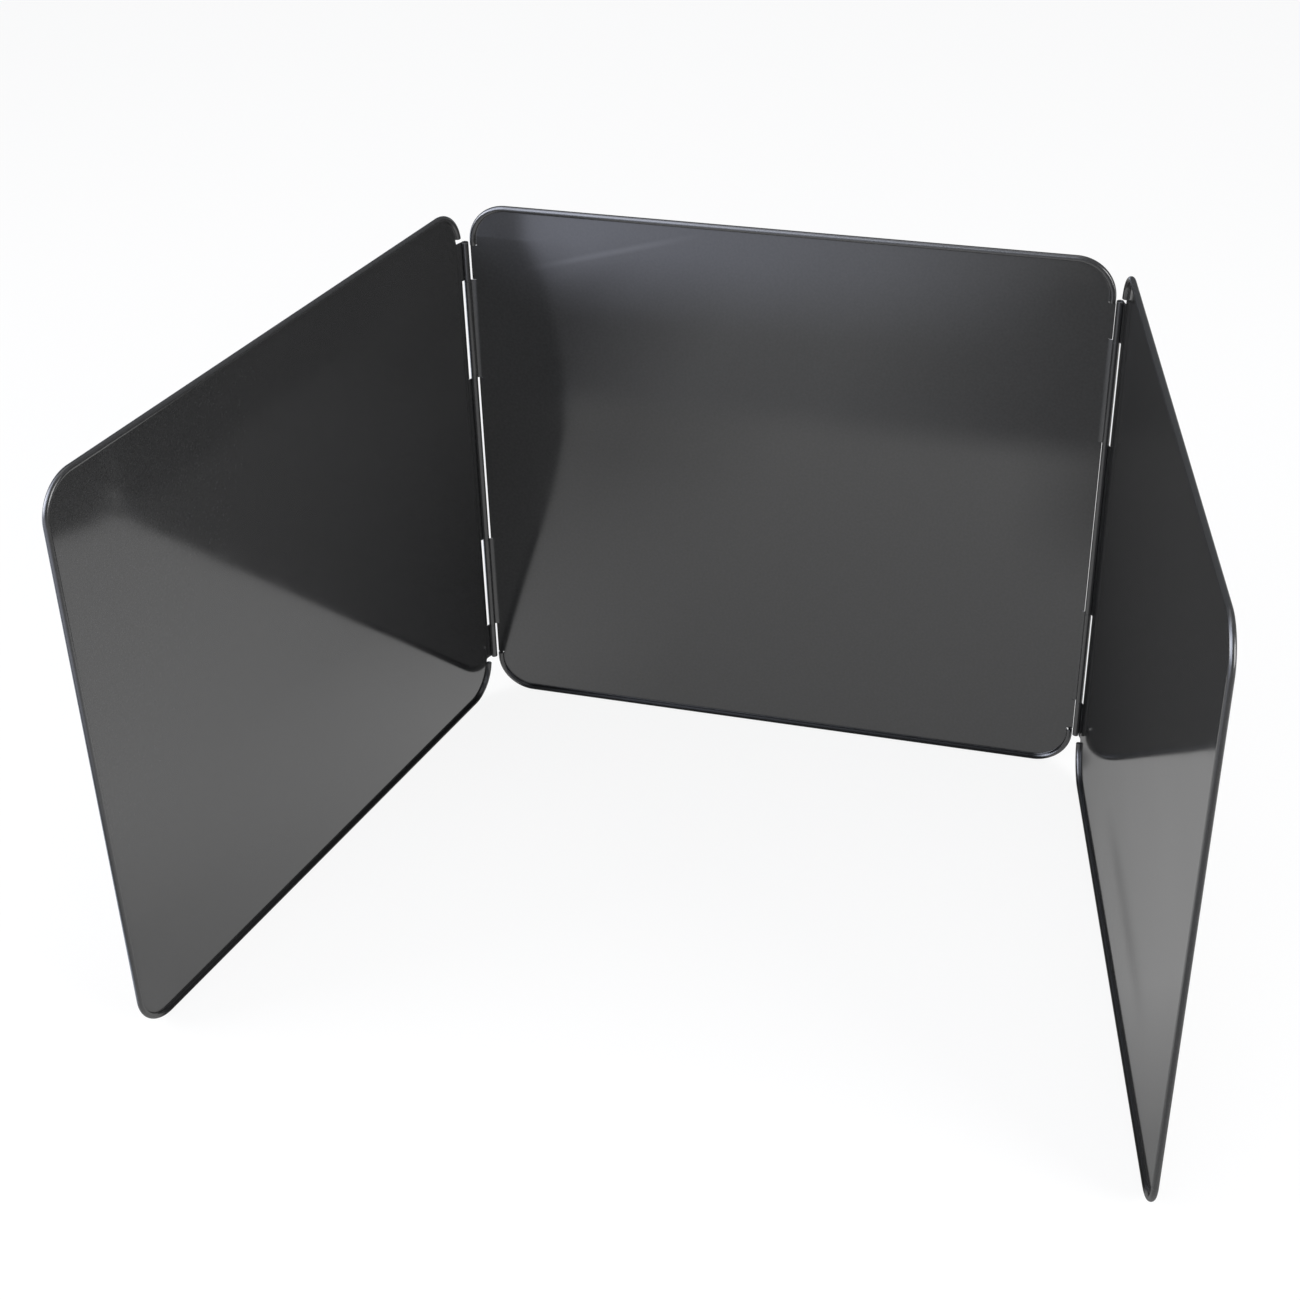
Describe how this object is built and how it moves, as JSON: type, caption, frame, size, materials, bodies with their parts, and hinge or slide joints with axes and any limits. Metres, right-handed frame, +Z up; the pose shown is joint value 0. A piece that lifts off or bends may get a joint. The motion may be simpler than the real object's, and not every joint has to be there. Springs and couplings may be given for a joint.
{
  "type": "folding splash guard",
  "caption": "Folding sheet-steel splash guard: a centre panel with a side panel hinged on each edge, rolled rims, knuckles rolled from the sheet and straight wire pins.",
  "frame": {"origin": "on the ground under the middle of the centre panel, on its sheet's mid plane", "axes": "+Z up, +X along the centre panel towards the right panel as seen from the open side, -Y towards the open side"},
  "size_m": [0.3984, 0.2738, 0.25],
  "materials": {
    "panel_coat": "smooth dark charcoal non-stick coating, satin to semi-gloss",
    "pin_steel": "bare drawn wire"
  },
  "bodies": {
    "centre": {"centre_panel": "panel_coat", "left_hinge_pin": "pin_steel", "right_hinge_pin": "pin_steel"},
    "left": {"left_panel": "panel_coat"},
    "right": {"right_panel": "panel_coat"}
  },
  "joints": [
    {"name": "left_hinge", "type": "hinge", "parent": "centre", "child": "left", "pos_m": [-0.1405, -0.00185, 0.125], "axis": [0, 0, 1], "range_deg": [-148, 101.5]},
    {"name": "right_hinge", "type": "hinge", "parent": "centre", "child": "right", "pos_m": [0.1405, -0.00185, 0.125], "axis": [0, 0, -1], "range_deg": [-148, 85]}
  ]
}
